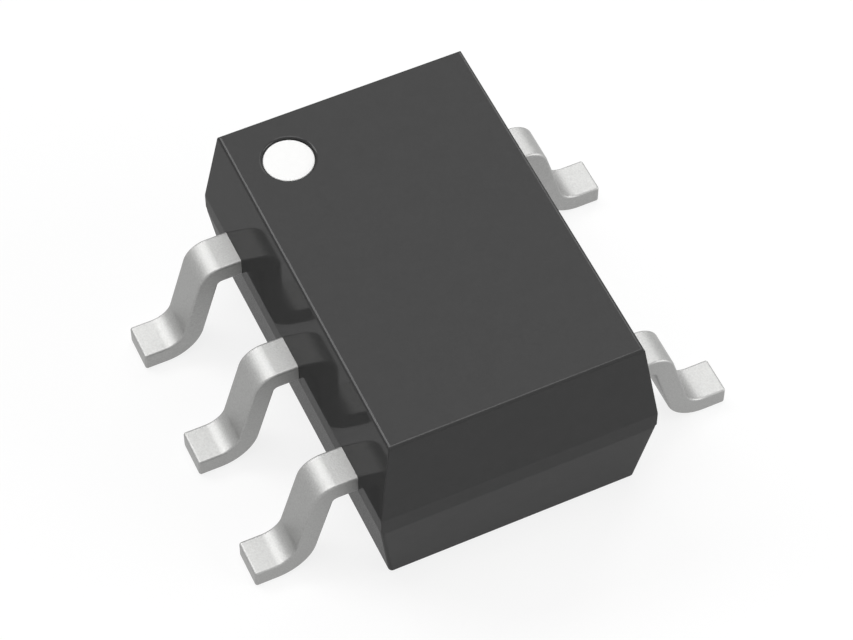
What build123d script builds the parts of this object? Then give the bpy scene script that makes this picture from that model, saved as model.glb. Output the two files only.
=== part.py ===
# A bus switch in a five-lead SC-70 package: a small moulded body with formed leads, and the chip inside it.
# Millimetres. The origin is on the seating plane, in the middle of the feet, and +Z is up.
# X runs across the leads and Y along the body. Lead 1 is at -X, +Y, and the leads count round from there.

import os
from math import radians, tan

from build123d import *

os.makedirs("parts", exist_ok=True)

# Moulded body
body_length = 1.98  # along Y, at the band
body_width = 1.35  # along X, at the band
standoff = 0.01  # underside above the seating plane
lower_height = 0.44
band_height = 0.102  # upright band at the parting line
upper_height = 0.461
side_draft = 8.0  # degrees, on the two sides that have leads
end_draft = 7.0  # degrees, on the two ends
edge_radius = 0.018  # round the top face and the underside, and the lower half's upright corners

# Formed leads
lead_pitch = 0.65
lead_width = 0.19
lead_thickness = 0.10
lead_above_band = 0.010  # top of the shoulder above the band's top edge
lead_angle = 74.0  # degrees, of the riser from level
shoulder_length = 0.098  # straight stretch from the body to the first bend
foot_length = 0.107  # straight stretch from the second bend to the tip
shoulder_inner_radius = 0.025
foot_inner_radius = 0.104
lead_edge_break = 0.007  # edges broken along the lead and round its cut end

# Leadframe inside the body
entry_depth = 0.07  # the formed lead runs this far into the wall, and the flat finger goes on from there
finger_gap = 0.12  # between neighbouring parts of the leadframe
head_width = 0.30  # finger heads along Y
head_depth = 0.13  # heads beside the die pad, along X
corner_head_depth = 0.32  # heads past the end of the die pad, along X
corner_head_gap = 0.20  # between those two heads
ground_lead = "lead_3"  # carries the die pad
die_pad_width = 0.56
lock_hole_radius = 0.045
lock_hole_from_pad = 0.11  # hole's centre outside the die pad's side

# Chip and its adhesive
die_width = 0.40
die_length = 0.56
die_thickness = 0.15
die_pad_margin = 0.08  # die's end to the end of the die pad
attach_thickness = 0.02
attach_rim = 0.02  # adhesive squeezed out round the die

# Bond wires
wire_diameter = 0.025
wire_sides = 8  # sides of the wire's section, few because the wire is thin
ball_radius = 0.030
ball_height = 0.020
bond_inset = 0.055  # ball's centre in from the die's edges
loop_height = 0.10  # wire's middle above the die
loop_run = 0.11  # from the ball's centre to where the wire turns down
loop_bend_radius = 0.035
stitch_bend_radius = 0.03
stitch_length = 0.06
stitch_width = 0.04
stitch_thickness = 0.012
ground_bond_inset = 0.08  # ground stitch in from the die pad's side

# Pin 1 mark
mark_x = -0.3675
mark_y = 0.679
mark_radius = 0.118
mark_thickness = 0.005
mark_clearance = 0.004  # between the ink and the recess wall
recess_depth = 0.015
recess_edge_radius = 0.012

# Levels, and sizes that follow from those above
band_bottom = standoff + lower_height
band_top = band_bottom + band_height
body_top = band_top + upper_height
lead_top = band_top + lead_above_band
lead_bottom = lead_top - lead_thickness
die_bottom = lead_top + attach_thickness
die_top = die_bottom + die_thickness
top_width = body_width - 2 * upper_height * tan(radians(side_draft))
top_length = body_length - 2 * upper_height * tan(radians(end_draft))
underside_width = body_width - 2 * lower_height * tan(radians(side_draft))
underside_length = body_length - 2 * lower_height * tan(radians(end_draft))

# The lead's centre line: level shoulder, riser and level foot, with its corners where the straights would meet
shoulder_z = lead_top - lead_thickness / 2
foot_z = lead_thickness / 2
shoulder_radius = shoulder_inner_radius + lead_thickness / 2
foot_radius = foot_inner_radius + lead_thickness / 2
half_turn = radians(lead_angle / 2)
knee_x = body_width / 2 + shoulder_length + shoulder_radius * tan(half_turn)
ankle_x = knee_x + (shoulder_z - foot_z) / tan(radians(lead_angle))
tip_x = ankle_x + foot_radius * tan(half_turn) + foot_length

# The die pad runs from the outer side of its lead to a gap short of the heads of leads 1 and 5
die_pad_low_y = -lead_pitch - lead_width / 2
die_pad_high_y = lead_pitch - head_width / 2 - finger_gap
die_pad_length = die_pad_high_y - die_pad_low_y
die_y = die_pad_high_y - die_pad_margin - die_length / 2

# Each lead: which side it leaves from, and its place along Y
leads = {
    "lead_1": (-1, lead_pitch),
    "lead_2": (-1, 0.0),
    "lead_3": (-1, -lead_pitch),
    "lead_4": (1, -lead_pitch),
    "lead_5": (1, lead_pitch),
}
side_head_x = die_pad_width / 2 + finger_gap + head_depth / 2
corner_head_x = corner_head_gap / 2 + corner_head_depth / 2


def make_lead(name):
    """A leadframe finger: a flat head inside the body, and the shoulder, riser and foot outside it."""
    side, y = leads[name]
    # Outward along the local x axis, upward along the local y axis
    profile_plane = Plane(origin=(0, y, 0), x_dir=(side, 0, 0), z_dir=(0, -side, 0))
    entry_x = body_width / 2 - entry_depth
    with BuildPart() as lead:
        with BuildLine(profile_plane) as centre_line:
            FilletPolyline(
                (entry_x, shoulder_z),
                (knee_x, shoulder_z),
                (ankle_x, foot_z),
                (tip_x, foot_z),
                radius=[shoulder_radius, foot_radius],
            )
        with BuildSketch(Plane(origin=centre_line.line @ 0, x_dir=(0, 1, 0), z_dir=centre_line.line % 0)) as section:
            Rectangle(lead_width, lead_thickness)
            chamfer(section.vertices(), lead_edge_break)
        sweep(path=centre_line.line)
        cut_end = lead.faces().sort_by(Axis.X)[-1 if side > 0 else 0]
        chamfer(cut_end.edges(), lead_edge_break)
        with BuildSketch(Plane.XY.offset(lead_bottom)):
            if name == ground_lead:
                finger_end = die_pad_width / 2
                with Locations((0, (die_pad_low_y + die_pad_high_y) / 2)):
                    Rectangle(die_pad_width, die_pad_length)
            elif y > 0:
                finger_end = corner_head_x
                with Locations((side * corner_head_x, y)):
                    Rectangle(corner_head_depth, head_width)
            else:
                finger_end = side_head_x
                with Locations((side * side_head_x, y)):
                    Rectangle(head_depth, head_width)
            with Locations((side * (finger_end + entry_x) / 2, y)):
                Rectangle(entry_x - finger_end, lead_width)
            if name == ground_lead:
                with Locations((side * (die_pad_width / 2 + lock_hole_from_pad), y)):
                    Circle(lock_hole_radius, mode=Mode.SUBTRACT)
        extrude(amount=lead_thickness)
    lead.part.label = name
    return lead.part


def make_bond_wire(name, start, end):
    """A bond wire from a ball at start, on the die, to a stitch at end, on the leadframe."""
    reach = Vector(end[0] - start[0], end[1] - start[1], 0)
    span = reach.length
    along = reach.normalized()
    # Along the wire on the local x axis, and up on the local y axis, from the leadframe's level
    wire_plane = Plane(
        origin=(start[0], start[1], lead_top), x_dir=along, z_dir=along.cross(Vector(0, 0, 1))
    )
    ball_top = die_top + ball_height - lead_top
    loop_top = die_top + loop_height - lead_top
    stitch_start = span - stitch_length / 2
    wire_low = wire_diameter / 2
    with BuildPart() as wire:
        with BuildLine(wire_plane) as path:
            FilletPolyline(
                (0, ball_top - ball_height / 2),
                (0, loop_top),
                (loop_run, loop_top),
                (stitch_start, wire_low),
                (span, wire_low),
                radius=[loop_bend_radius, loop_bend_radius, stitch_bend_radius],
            )
        with BuildSketch(Plane(origin=path.line @ 0, z_dir=path.line % 0)):
            RegularPolygon(wire_diameter / 2, wire_sides)
        sweep(path=path.line)
        with BuildSketch(Plane.XY.offset(die_top)):
            with Locations((start[0], start[1])):
                Circle(ball_radius)
        extrude(amount=ball_height)
        with BuildSketch(Plane(origin=(end[0], end[1], lead_top), x_dir=along, z_dir=(0, 0, 1))):
            SlotOverall(stitch_length, stitch_width)
        extrude(amount=stitch_thickness)
    wire.part.label = name
    return wire.part


lead_parts = [make_lead(name) for name in leads]

with BuildPart() as die_attach:
    with BuildSketch(Plane.XY.offset(lead_top)):
        with Locations((0, die_y)):
            Rectangle(die_width + 2 * attach_rim, die_length + 2 * attach_rim)
    extrude(amount=attach_thickness)
die_attach.part.label = "die_attach"

with BuildPart() as die:
    with BuildSketch(Plane.XY.offset(die_bottom)):
        with Locations((0, die_y)):
            Rectangle(die_width, die_length)
    extrude(amount=die_thickness)
die.part.label = "die"

# Each bond wire: where its ball sits on the die, and where its stitch sits on the leadframe
bond_x = die_width / 2 - bond_inset
bond_high_y = die_y + die_length / 2 - bond_inset
bond_low_y = die_y - die_length / 2 + bond_inset
bonds = {
    "bond_wire_1": ((-bond_x, bond_high_y), (-corner_head_x, lead_pitch)),
    "bond_wire_2": ((-bond_x, die_y), (-side_head_x, 0)),
    "bond_wire_3": ((-bond_x, bond_low_y), (-die_pad_width / 2 + ground_bond_inset, -lead_pitch)),
    "bond_wire_4": ((bond_x, bond_low_y), (side_head_x, -lead_pitch)),
    "bond_wire_5": ((bond_x, bond_high_y), (corner_head_x, lead_pitch)),
}
wire_parts = [make_bond_wire(name, start, end) for name, (start, end) in bonds.items()]

with BuildPart() as pin_1_mark:
    with BuildSketch(Plane.XY.offset(body_top - recess_depth)):
        with Locations((mark_x, mark_y)):
            Circle(mark_radius)
    extrude(amount=mark_thickness)
pin_1_mark.part.label = "pin_1_mark"

with BuildPart() as mould_body:
    with BuildSketch(Plane.XY.offset(standoff)):
        RectangleRounded(underside_width, underside_length, edge_radius)
    with BuildSketch(Plane.XY.offset(band_bottom)):
        RectangleRounded(body_width, body_length, edge_radius)
    loft()
    # The other half of the mould shapes the band and all above it, and leaves the upright corners sharp
    with BuildSketch(Plane.XY.offset(band_bottom)):
        Rectangle(body_width, body_length)
    extrude(amount=band_height)
    with BuildSketch(Plane.XY.offset(band_top)):
        Rectangle(body_width, body_length)
    with BuildSketch(Plane.XY.offset(body_top)):
        Rectangle(top_width, top_length)
    loft()
    fillet(mould_body.faces().sort_by(Axis.Z)[-1].edges(), edge_radius)
    fillet(mould_body.faces().sort_by(Axis.Z)[0].edges(), edge_radius)
    # Recess of the pin 1 mark, with its edge rounded
    with BuildSketch(Plane.XY.offset(body_top)):
        with Locations((mark_x, mark_y)):
            Circle(mark_radius + mark_clearance)
    extrude(amount=-recess_depth, mode=Mode.SUBTRACT)
    recess_edge = mould_body.edges().filter_by(GeomType.CIRCLE).group_by(Axis.Z)[-1].sort_by(SortBy.RADIUS)[-1]
    fillet(recess_edge, recess_edge_radius)
    # The compound fills the space round everything it holds
    for held in [*lead_parts, die_attach.part, die.part, *wire_parts]:
        add(held, mode=Mode.SUBTRACT)
mould_body.part.label = "mould_body"

for piece in [mould_body.part, *lead_parts, die_attach.part, die.part, *wire_parts, pin_1_mark.part]:
    export_step(piece, f"parts/{piece.label}.step")
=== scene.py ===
# Bus switch in a small moulded package with five formed leads: its looks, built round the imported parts
from math import cos, pi, radians, sin, tan

import bmesh
import bpy
from mathutils import Matrix, Vector


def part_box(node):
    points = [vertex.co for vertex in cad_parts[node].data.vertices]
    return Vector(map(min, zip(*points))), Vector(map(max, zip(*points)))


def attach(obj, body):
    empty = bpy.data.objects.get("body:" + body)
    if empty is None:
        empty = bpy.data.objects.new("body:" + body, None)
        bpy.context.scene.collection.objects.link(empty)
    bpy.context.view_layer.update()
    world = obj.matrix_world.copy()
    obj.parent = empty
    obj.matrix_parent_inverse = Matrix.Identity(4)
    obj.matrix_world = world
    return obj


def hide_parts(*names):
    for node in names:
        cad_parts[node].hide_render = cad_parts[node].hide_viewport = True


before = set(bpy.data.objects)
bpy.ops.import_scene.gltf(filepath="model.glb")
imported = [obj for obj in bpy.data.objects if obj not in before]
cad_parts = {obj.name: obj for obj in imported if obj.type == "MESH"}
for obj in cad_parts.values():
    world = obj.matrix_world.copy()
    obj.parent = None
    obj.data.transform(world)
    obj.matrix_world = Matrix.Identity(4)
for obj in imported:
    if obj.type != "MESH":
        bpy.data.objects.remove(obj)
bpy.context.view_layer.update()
print("frame loaded:", len(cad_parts), "nodes")

mm = 0.001  # a millimetre in metres


# Shared helpers

def linearColour(hexCode):  # sRGB hex to the linear colour that the shaders take
    channels = [int(hexCode[i:i + 2], 16) / 255 for i in (1, 3, 5)]
    return [c / 12.92 if c <= 0.04045 else ((c + 0.055) / 1.055) ** 2.4 for c in channels] + [1]


def addNode(tree, kind, settings, links=None):  # a node, its settings by name or input number, and its links
    node = tree.nodes.new("ShaderNode" + kind)
    for name, value in settings.items():
        if isinstance(name, int) or name in node.inputs:
            node.inputs[name].default_value = value
        else:
            setattr(node, name, value)
    for name, source in (links or {}).items():
        tree.links.new(source, node.inputs[name])
    return node


def newMaterial(name):
    material = bpy.data.materials.new(name)
    material.use_nodes = True
    material.node_tree.nodes.clear()
    return material, material.node_tree


def inMillimetres(tree):  # place on the object in mm, so that a pattern's scale is one over its size
    place = addNode(tree, "TexCoord", {})
    scaled = addNode(tree, "Mapping", {"Scale": (1 / mm,) * 3}, {"Vector": place.outputs["Object"]})
    return scaled.outputs["Vector"]


def seenDirectly(tree):  # 1 for what the camera sees, also in a shiny surface or through glass, or else 0
    path = addNode(tree, "LightPath", {}).outputs
    seen = path["Is Camera Ray"]
    for way in ("Is Glossy Ray", "Is Transmission Ray"):
        seen = addNode(tree, "Math", {"operation": "MAXIMUM"}, {0: seen, 1: path[way]}).outputs[0]
    return seen


def steps(start, end, count):  # angles in radians from start to end, both given in degrees
    return [radians(start + (end - start) * i / count) for i in range(count + 1)]


def roundedRectangle(halfX, halfY, radius, count):  # its points, and the way out at each
    points, outward = [], []
    for signX, signY, start in ((1, 1, 0), (-1, 1, 90), (-1, -1, 180), (1, -1, 270)):
        for a in steps(start, start + 90, count):
            points.append((signX * (halfX - radius) + radius * cos(a),
                           signY * (halfY - radius) + radius * sin(a)))
            outward.append((cos(a), sin(a)))
    return points, outward


class Skin:  # a mesh under construction in mm, with a true normal kept for each vertex
    def __init__(self):
        self.bm = bmesh.new()
        self.normals = []

    def ring(self, points, normals):
        self.normals += normals
        return [self.bm.verts.new([c * mm for c in point]) for point in points]

    def turned(self, middle, profile, around, facing=1):
        # Rings round an upright axis, from radius, level and tilt. They face out, or in where facing is -1
        ways = [(cos(2 * pi * i / around), sin(2 * pi * i / around)) for i in range(around)]
        return [self.ring([(middle.x + radius * x, middle.y + radius * y, level) for x, y in ways],
                          [(facing * x * cos(tilt), facing * y * cos(tilt), sin(tilt)) for x, y in ways])
                for radius, level, tilt in profile]

    def bridge(self, rings):  # quads between neighbouring closed rings
        for near, far in zip(rings, rings[1:]):
            for i in range(len(near)):
                j = (i + 1) % len(near)
                self.bm.faces.new((near[i], near[j], far[j], far[i]))

    def finish(self, name, material, node):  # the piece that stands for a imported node
        bmesh.ops.recalc_face_normals(self.bm, faces=self.bm.faces)
        mesh = bpy.data.meshes.new(name)
        self.bm.to_mesh(mesh)
        self.bm.free()
        mesh.shade_smooth()
        mesh.normals_split_custom_set_from_vertices(self.normals)
        mesh.materials.append(material)
        piece = bpy.data.objects.new(name, mesh)
        bpy.context.scene.collection.objects.link(piece)
        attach(piece, "root")
        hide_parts(node)
        print(name, "made:", len(mesh.polygons), "faces")


# Moulded body

mouldedShell = {
    "colour": "#343434",  # carbon black in the compound
    "mottle": "#383838",  # where the silica filler lies a little closer to the skin
    "mottleSize": 0.09,  # mm
    "mottleDetail": 3,
    "resinShare": 0.24,  # smooth resin between the dull filler grains
    "resinSpread": 0.05,  # how much that share changes from grain to grain
    "resinRoughness": 0.06,  # as the polished cavity leaves it
    "grainSize": 0.012,  # mm, the coarsest silica grains
    "grainDetail": 2,
    "ior": 1.5,
    "specular": 1,  # twice the usual, for silica just under the skin mirrors as well
    "bandBottom": 0.45,  # mm, as are the lengths below
    "bandTop": 0.552,
    "sideDraft": 8,  # degrees
    "endDraft": 7,
    "edgeRadius": 0.018,  # round the top face and the underside
    "lowerCorner": 0.018,  # radius of the upright corners
    "upperCorner": 0.004,  # the other half of the mould is sharper, and shapes the band too
    "bandRadius": 0.12,  # where each drafted half meets the band
    "cornerSteps": 12,
    "edgeSteps": 10,
    "bandSteps": 3,
    "inkClearance": 0.004,  # from the ink to the wall of the pin 1 recess
    "recessDepth": 0.015,
    "recessRim": 0.012,  # radius of its upper edge
    "recessFoot": 0.003,  # radius between its wall and floor
    "recessAround": 96,
    "recessSteps": 6,
}


def makeMouldedEpoxy():  # a dull charcoal skin, with a faint clear mirror image of what stands close to it
    look = mouldedShell
    material, tree = newMaterial("epoxyCompoundMoulded")
    place = inMillimetres(tree)
    mottle = addNode(tree, "TexNoise", {"Scale": 1 / look["mottleSize"], "Detail": look["mottleDetail"]},
                     {"Vector": place})
    tint = addNode(tree, "MixRGB", {1: linearColour(look["colour"]), 2: linearColour(look["mottle"])},
                   {0: mottle.outputs["Fac"]})
    grains = addNode(tree, "TexNoise", {"Scale": 1 / look["grainSize"], "Detail": look["grainDetail"]},
                     {"Vector": place})
    share = addNode(tree, "MapRange", {"To Min": look["resinShare"] - look["resinSpread"],
                                       "To Max": look["resinShare"] + look["resinSpread"]},
                    {"Value": grains.outputs["Fac"]})
    filler = addNode(tree, "BsdfDiffuse", {}, {"Color": tint.outputs[0]})
    resin = addNode(tree, "BsdfPrincipled", {"IOR": look["ior"], "Specular IOR Level": look["specular"],
                                             "Roughness": look["resinRoughness"]},
                    {"Base Color": tint.outputs[0]})
    skin = addNode(tree, "MixShader", {}, {0: share.outputs[0], 1: filler.outputs[0], 2: resin.outputs[0]})
    addNode(tree, "OutputMaterial", {}, {"Surface": skin.outputs[0]})
    return material


def halfProfile(face, band, sign, corner):
    # Rows from a flat face to the band: level, inset at the sides and at the ends, corner radius, tilt.
    # The sign is 1 above the band and -1 below it
    shape = mouldedShell
    draft = (shape["sideDraft"] + shape["endDraft"]) / 2
    sideInset = abs(face - band) * tan(radians(shape["sideDraft"]))
    endInset = abs(face - band) * tan(radians(shape["endDraft"]))
    edge = shape["edgeRadius"]
    edgeReach = edge * tan(radians((90 - draft) / 2))
    rows = []
    for tilt in steps(90, draft, shape["edgeSteps"]):
        inward = edgeReach - edge * cos(tilt)
        rows.append((face - sign * edge * (1 - sin(tilt)), sideInset + inward, endInset + inward,
                     corner * (1 - inward / edge), sign * tilt))
    turn = shape["bandRadius"]
    turnReach = turn * tan(radians(draft / 2))
    for tilt in steps(draft, 0, shape["bandSteps"]):
        inward = turn * (1 - cos(tilt))
        rows.append((band + sign * (turn * sin(tilt) - turnReach), inward, inward, corner, sign * tilt))
    return rows


def addRecess(skin, top):  # rim, wall and floor of the pin 1 recess. Gives back the ring round its rim
    shape = mouldedShell
    low, high = (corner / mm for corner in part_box("pin_1_mark"))
    wall = (high.x - low.x) / 2 + shape["inkClearance"]
    rim, foot = shape["recessRim"], shape["recessFoot"]
    bends = steps(0, 90, shape["recessSteps"])
    profile = [(wall + rim * (1 - sin(a)), rim * (1 - cos(a)), pi / 2 - a) for a in bends]
    profile += [(wall - foot * (1 - cos(a)), shape["recessDepth"] - foot * (1 - sin(a)), a) for a in bends]
    levels = [(radius, top - depth, tilt) for radius, depth, tilt in profile]
    rings = skin.turned((low + high) / 2, levels, shape["recessAround"], facing=-1)
    skin.bridge(rings)
    skin.bm.faces.new(rings[-1])
    return rings[0]


def makeMouldedShell():
    low, high = (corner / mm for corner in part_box("mould_body"))
    shape = mouldedShell
    skin = Skin()
    rows = halfProfile(low.z, shape["bandBottom"], -1, shape["lowerCorner"])
    # The upright corners turn sharp just above the parting line
    rows.append((rows[-1][0] + shape["lowerCorner"] / 2, 0, 0, shape["upperCorner"], 0))
    rows += halfProfile(high.z, shape["bandTop"], 1, shape["upperCorner"])[::-1]
    rings = []
    for level, insetX, insetY, corner, tilt in rows:
        points, outward = roundedRectangle(high.x - insetX, high.y - insetY, corner, shape["cornerSteps"])
        rings.append(skin.ring([(x, y, level) for x, y in points],
                               [(x * cos(tilt), y * cos(tilt), sin(tilt)) for x, y in outward]))
    skin.bridge(rings)
    skin.bm.faces.new(rings[0])

    rim = addRecess(skin, high.z)
    border = []  # of the top face, with the recess left out
    for ring in (rings[-1], rim):
        border += [skin.bm.edges.get((ring[i - 1], ring[i])) for i in range(len(ring))]
    bmesh.ops.triangle_fill(skin.bm, edges=border, use_beauty=True, normal=(0, 0, 1))
    skin.finish("moulded_shell", makeMouldedEpoxy(), "mould_body")


# Formed leads

formedLead = {
    "colour": "#8D8D8C",  # tin as plated, not melted since
    "grainTint": "#AFAFAE",
    "grainSize": 0.008,  # mm, the grains are 2 to 5 thousandths and are drawn this coarse so that they show
    "grainDetail": 2,
    "grainHeight": 0.0006,  # mm
    "roughness": 0.5,
    "roughnessSpread": 0.06,
    "width": 0.19,  # mm, as are the lengths below
    "thickness": 0.10,
    "shoulderTop": 0.562,
    "shoulder": 0.098,  # straight stretch outside the body
    "insideBody": 0.07,  # how far inside the body's side the formed lead starts and the flat finger ends
    "angle": 74,  # degrees, of the riser from level
    "shoulderRadius": 0.075,  # of the middle line
    "footRadius": 0.154,
    "edgeRadius": 0.012,  # punched edges, softened by the plating
    "cornerLoss": 0.98,  # share of it that the corners lose at the cut end, so that no points meet
    "weldGap": 0.0001,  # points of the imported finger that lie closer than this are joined
    "edgeSteps": 5,
    "bendSteps": 24,
}


def makeMatteTin():  # fine grains that spread each highlight into a soft grey sheen
    look = formedLead
    material, tree = newMaterial("tinMattePlated")
    place = inMillimetres(tree)
    grain = addNode(tree, "TexNoise", {"Scale": 1 / look["grainSize"], "Detail": look["grainDetail"]},
                    {"Vector": place})
    tint = addNode(tree, "MixRGB", {1: linearColour(look["colour"]), 2: linearColour(look["grainTint"])},
                   {0: grain.outputs["Fac"]})
    rough = addNode(tree, "MapRange", {"To Min": look["roughness"] - look["roughnessSpread"],
                                       "To Max": look["roughness"] + look["roughnessSpread"]},
                    {"Value": grain.outputs["Fac"]})
    bump = addNode(tree, "Bump", {"Distance": look["grainHeight"] * mm}, {"Height": grain.outputs["Fac"]})
    shader = addNode(tree, "BsdfPrincipled", {"Metallic": 1},
                     {"Base Color": tint.outputs[0], "Roughness": rough.outputs[0],
                      "Normal": bump.outputs[0]})
    addNode(tree, "OutputMaterial", {}, {"Surface": shader.outputs[0]})
    return material


def leadMiddleLine(bodySide):  # distance out, level and slope down the lead, to the start of the flat foot
    shape = formedLead
    top = shape["shoulderTop"] - shape["thickness"] / 2
    bottom = shape["thickness"] / 2
    upper, lower = shape["shoulderRadius"], shape["footRadius"]
    turn = radians(shape["angle"])
    knee = bodySide + shape["shoulder"]
    rows = [(bodySide - shape["insideBody"], top, 0)]
    for a in steps(0, shape["angle"], shape["bendSteps"]):
        rows.append((knee + upper * sin(a), top - upper * (1 - cos(a)), a))
    riser = (top - bottom) - (upper + lower) * (1 - cos(turn))
    footStart = rows[-1][0] + riser / tan(turn) + lower * sin(turn)
    for a in steps(shape["angle"], 0, shape["bendSteps"]):
        rows.append((footStart - lower * sin(a), bottom + lower * (1 - cos(a)), a))
    return rows


def footMiddle(node):  # where the lead lies along Y, read at its tip
    corners = [v.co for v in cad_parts[node].data.vertices]
    reach = max(abs(c.x) for c in corners)
    atTip = [c.y for c in corners if abs(c.x) > reach - formedLead["thickness"] * mm / 2]
    return (min(atTip) + max(atTip)) / 2 / mm


def addFinger(skin, node, cutAt, side):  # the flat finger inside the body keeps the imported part's own form
    finger = bmesh.new()
    finger.from_mesh(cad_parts[node].data)
    bmesh.ops.remove_doubles(finger, verts=finger.verts, dist=formedLead["weldGap"] * mm)
    everything = finger.verts[:] + finger.edges[:] + finger.faces[:]
    cut = bmesh.ops.bisect_plane(finger, geom=everything, plane_co=(side * cutAt * mm, 0, 0),
                                 plane_no=(side, 0, 0), clear_outer=True)
    opened = [e for e in cut["geom_cut"] if isinstance(e, bmesh.types.BMEdge)]
    bmesh.ops.edgenet_fill(finger, edges=opened)
    finger.normal_update()
    copies = {v: skin.bm.verts.new(v.co) for v in finger.verts}
    skin.normals += [tuple(v.normal) for v in finger.verts]
    for face in finger.faces:
        skin.bm.faces.new([copies[v] for v in face.verts])
    finger.free()


def makeFormedLead(node, name, material):
    shape = formedLead
    low, high = (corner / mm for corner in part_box(node))
    side, tip = (1, high.x) if high.x > -low.x else (-1, -low.x)
    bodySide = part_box("mould_body")[1].x / mm
    middleY = footMiddle(node)
    edge = shape["edgeRadius"]
    skin = Skin()

    def section(out, level, slope, tuck=0, facing=0):  # tuck and facing turn the edges round the cut end
        points, outward = roundedRectangle(shape["width"] / 2 - tuck, shape["thickness"] / 2 - tuck,
                                           edge - tuck * shape["cornerLoss"], shape["edgeSteps"])
        places = [(side * (out + up * sin(slope)), middleY + across, level + up * cos(slope))
                  for across, up in points]
        normals = [(side * (up * sin(slope) * cos(facing) + sin(facing)), across * cos(facing),
                    up * cos(slope) * cos(facing)) for across, up in outward]
        return skin.ring(places, normals)

    rings = [section(*row) for row in leadMiddleLine(bodySide)]
    for a in steps(0, 90, shape["edgeSteps"]):
        rings.append(section(tip - edge * (1 - sin(a)), shape["thickness"] / 2, 0, edge * (1 - cos(a)), a))
    skin.bridge(rings)
    skin.bm.faces.new(rings[0])
    skin.bm.faces.new(rings[-1])
    addFinger(skin, node, bodySide - shape["insideBody"], side)
    skin.finish(name, material, node)


# Pin 1 mark

inkDot = {
    "colour": "#FAFAF9",
    "mottle": "#F6F6F5",
    "mottleSize": 0.03,  # mm
    "mottleDetail": 2,
    "roughness": 0.55,  # ink dries matte
    "edgeRadius": 0.004,  # mm
    "edgeSteps": 5,
    "around": 96,
}


def makeWhiteInk():  # an even white that doesn't shine
    look = inkDot
    material, tree = newMaterial("inkWhitePrinted")
    mottle = addNode(tree, "TexNoise", {"Scale": 1 / look["mottleSize"], "Detail": look["mottleDetail"]},
                     {"Vector": inMillimetres(tree)})
    tint = addNode(tree, "MixRGB", {1: linearColour(look["colour"]), 2: linearColour(look["mottle"])},
                   {0: mottle.outputs["Fac"]})
    shader = addNode(tree, "BsdfPrincipled", {"Roughness": look["roughness"]},
                     {"Base Color": tint.outputs[0]})
    addNode(tree, "OutputMaterial", {}, {"Surface": shader.outputs[0]})
    return material


def makeInkDot():  # a thin pool of ink with a rounded rim
    low, high = (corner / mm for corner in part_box("pin_1_mark"))
    radius, edge = (high.x - low.x) / 2, inkDot["edgeRadius"]
    profile = [(radius, low.z, 0)]
    for a in steps(0, 90, inkDot["edgeSteps"]):
        profile.append((radius - edge * (1 - cos(a)), high.z - edge * (1 - sin(a)), a))
    skin = Skin()
    rings = skin.turned((low + high) / 2, profile, inkDot["around"])
    skin.bridge(rings)
    skin.bm.faces.new(rings[0])
    skin.bm.faces.new(rings[-1])
    skin.finish("ink_dot", makeWhiteInk(), "pin_1_mark")


# Chip, its adhesive and the bond wires, closed in by the body

siliconDie = {
    "colour": "#3C4250",  # silicon under a clear glass coat
    "wiring": "#6C6A5A",
    "blockSize": 0.05,  # mm, the circuit's blocks
    "roughness": 0.12,
}


def makeSilicon():  # a dark blue-grey shine, broken up by the circuit's blocks
    look = siliconDie
    material, tree = newMaterial("siliconPolished")
    blocks = addNode(tree, "TexVoronoi", {"Scale": 1 / look["blockSize"], "distance": "CHEBYCHEV"},
                     {"Vector": inMillimetres(tree)})
    tint = addNode(tree, "MixRGB", {1: linearColour(look["colour"]), 2: linearColour(look["wiring"])},
                   {0: blocks.outputs["Distance"]})
    shader = addNode(tree, "BsdfPrincipled", {"Roughness": look["roughness"]},
                     {"Base Color": tint.outputs[0]})
    addNode(tree, "OutputMaterial", {}, {"Surface": shader.outputs[0]})
    return material


dieAdhesive = {
    "silver": "#8E8F91",  # silver flakes in the adhesive
    "resin": "#77787A",
    "flakeSize": 0.01,  # mm
    "metallic": 0.4,  # the flakes' share of the surface
    "roughness": 0.5,
}


def makeDieAdhesive():  # flakes in resin, a dull grey glitter
    look = dieAdhesive
    material, tree = newMaterial("epoxySilverFilled")
    flakes = addNode(tree, "TexVoronoi", {"Scale": 1 / look["flakeSize"]}, {"Vector": inMillimetres(tree)})
    tint = addNode(tree, "MixRGB", {1: linearColour(look["silver"]), 2: linearColour(look["resin"])},
                   {0: flakes.outputs["Distance"]})
    shader = addNode(tree, "BsdfPrincipled", {"Metallic": look["metallic"], "Roughness": look["roughness"]},
                     {"Base Color": tint.outputs[0]})
    addNode(tree, "OutputMaterial", {}, {"Surface": shader.outputs[0]})
    return material


bondWire = {
    "colour": "#F2C46A",
    "markSize": 0.01,  # mm, marks that the drawing die leaves
    "roughness": 0.3,
    "roughnessSpread": 0.1,
}


def makeGold():  # a warm shine that the drawing marks blur a little
    look = bondWire
    material, tree = newMaterial("goldDrawn")
    marks = addNode(tree, "TexNoise", {"Scale": 1 / look["markSize"]}, {"Vector": inMillimetres(tree)})
    rough = addNode(tree, "MapRange", {"To Min": look["roughness"] - look["roughnessSpread"],
                                       "To Max": look["roughness"] + look["roughnessSpread"]},
                    {"Value": marks.outputs["Fac"]})
    shader = addNode(tree, "BsdfPrincipled", {"Metallic": 1, "Base Color": linearColour(look["colour"])},
                     {"Roughness": rough.outputs[0]})
    addNode(tree, "OutputMaterial", {}, {"Surface": shader.outputs[0]})
    return material


def dressNode(node, material):
    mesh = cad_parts[node].data
    mesh.materials.clear()
    mesh.materials.append(material)


# Floor, light and camera

cardFloor = {
    "colour": "#E8E8E8",  # white card, as it throws light on the part
    "seen": "#767676",  # to the camera: the share that the lamps light, and that carries the shadow
    "lift": 0.83,  # and the rest, so that the floor shows white
    "size": 400,  # mm
    "drop": 0.0002,  # mm under the feet
}


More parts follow.
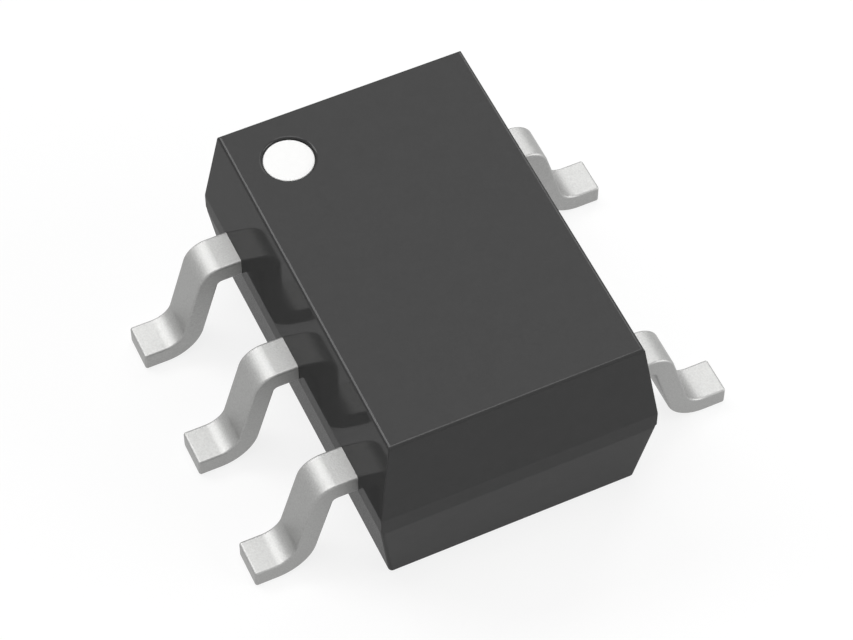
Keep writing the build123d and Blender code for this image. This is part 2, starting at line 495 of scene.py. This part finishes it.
def makeFloor():
    half = cardFloor["size"] * mm / 2
    level = -cardFloor["drop"] * mm
    corners = [(-half, -half, level), (half, -half, level), (half, half, level), (-half, half, level)]
    mesh = bpy.data.meshes.new("paperFloor")
    mesh.from_pydata(corners, [], [(0, 1, 2, 3)])
    material, tree = newMaterial("cardMatte")
    card = addNode(tree, "BsdfDiffuse", {"Color": linearColour(cardFloor["colour"])})
    lit = addNode(tree, "BsdfDiffuse", {"Color": linearColour(cardFloor["seen"])})
    lift = addNode(tree, "Emission", {"Strength": cardFloor["lift"]})
    seen = addNode(tree, "AddShader", {}, {0: lit.outputs[0], 1: lift.outputs[0]})
    surface = addNode(tree, "MixShader", {}, {0: seenDirectly(tree), 1: card.outputs[0], 2: seen.outputs[0]})
    addNode(tree, "OutputMaterial", {}, {"Surface": surface.outputs[0]})
    mesh.materials.append(material)
    floor = bpy.data.objects.new("paperFloor", mesh)
    bpy.context.scene.collection.objects.link(floor)


skyLight = 0.03  # what the white surroundings give the part, where 1 is white


def makeSky():
    world = bpy.data.worlds.new("studioSky")
    world.use_nodes = True
    tree = world.node_tree
    tree.nodes.clear()
    strength = addNode(tree, "MapRange", {"To Min": skyLight, "To Max": 1}, {"Value": seenDirectly(tree)})
    sky = addNode(tree, "Background", {"Color": (1, 1, 1, 1)}, {"Strength": strength.outputs[0]})
    addNode(tree, "OutputWorld", {}, {"Surface": sky.outputs[0]})
    bpy.context.scene.world = world


lampDistance = 400  # mm from the part
# Each lamp: where it stands, how wide and tall it looks from the part and how far it leans, in degrees,
# and its brightness, where 1 is as bright as white
lamps = {
    "overheadSoftbox": {"azimuth": 0, "height": 88, "width": 40, "tall": 40, "lean": 0, "brightness": 3.4},
    "backSoftbox": {"azimuth": -25, "height": 52, "width": 40, "tall": 40, "lean": 0, "brightness": 0.8},
    "leftSoftbox": {"azimuth": 33, "height": 50, "width": 20, "tall": 46, "lean": 49, "brightness": 5},
    "rightSoftbox": {"azimuth": -48, "height": 36, "width": 16, "tall": 46, "lean": 0, "brightness": 2.9},
    "frontSoftbox": {"azimuth": -125, "height": 18, "width": 44, "tall": 36, "lean": 0, "brightness": 4},
}


def makeLamp(name):
    spec = lamps[name]
    azimuth, height = radians(spec["azimuth"]), radians(spec["height"])
    towards = Vector((-sin(azimuth) * cos(height), cos(azimuth) * cos(height), sin(height)))
    away = lampDistance * mm
    light = bpy.data.lights.new(name, "AREA")
    light.shape = "ELLIPSE"
    light.size = 2 * away * tan(radians(spec["width"] / 2))
    light.size_y = 2 * away * tan(radians(spec["tall"] / 2))
    light.energy = spec["brightness"] * pi * (pi / 4 * light.size * light.size_y)
    lamp = bpy.data.objects.new(name, light)
    turned = towards.to_track_quat("Z", "Y").to_matrix() @ Matrix.Rotation(radians(spec["lean"]), 3, "Z")
    lamp.matrix_world = Matrix.Translation(towards * away) @ turned.to_4x4()
    bpy.context.scene.collection.objects.link(lamp)


photoCamera = {
    "azimuth": -25.133,  # degrees
    "elevation": 54.569,
    "roll": -0.171,
    "distance": 14.883,  # mm from the middle of the body's band
    "aimRight": 0.0022,  # mm from there to the middle of the picture
    "aimUp": -0.0545,
    "lens": 137.85,
    "sensor": 36,
    "nearest": 1,  # mm, it draws nothing closer
    "farthest": 1000,
}


def makeCamera():
    view = photoCamera
    a, e = radians(view["azimuth"]), radians(view["elevation"])
    back = Vector((sin(a) * cos(e), -cos(a) * cos(e), sin(e)))
    right = Vector((cos(a), sin(a), 0))
    turned = Matrix((right, back.cross(right), back))
    turned = Matrix.Rotation(radians(view["roll"]), 3, "Z") @ turned
    camera = bpy.data.cameras.new("photoCamera")
    camera.lens, camera.sensor_width = view["lens"], view["sensor"]
    camera.clip_start, camera.clip_end = view["nearest"] * mm, view["farthest"] * mm
    place = bpy.data.objects.new("photoCamera", camera)
    bandMiddle = Vector((0, 0, (mouldedShell["bandBottom"] + mouldedShell["bandTop"]) / 2))
    offset = turned.transposed() @ Vector((view["aimRight"], view["aimUp"], view["distance"]))
    place.matrix_world = Matrix.Translation((bandMiddle + offset) * mm) @ turned.transposed().to_4x4()
    bpy.context.scene.collection.objects.link(place)
    bpy.context.scene.camera = place


leadNumbers = range(1, 6)  # counted round the package, and each bond wire has its lead's number

makeMouldedShell()
tin = makeMatteTin()
for number in leadNumbers:
    makeFormedLead(f"lead_{number}", f"formed_lead_{number}", tin)
makeInkDot()
dressNode("die", makeSilicon())
dressNode("die_attach", makeDieAdhesive())
gold = makeGold()
for number in leadNumbers:
    dressNode(f"bond_wire_{number}", gold)
print("chip and wires dressed")
makeFloor()
makeSky()
for name in lamps:
    makeLamp(name)
makeCamera()
bpy.context.scene.view_settings.view_transform = "Standard"
print("studio ready")
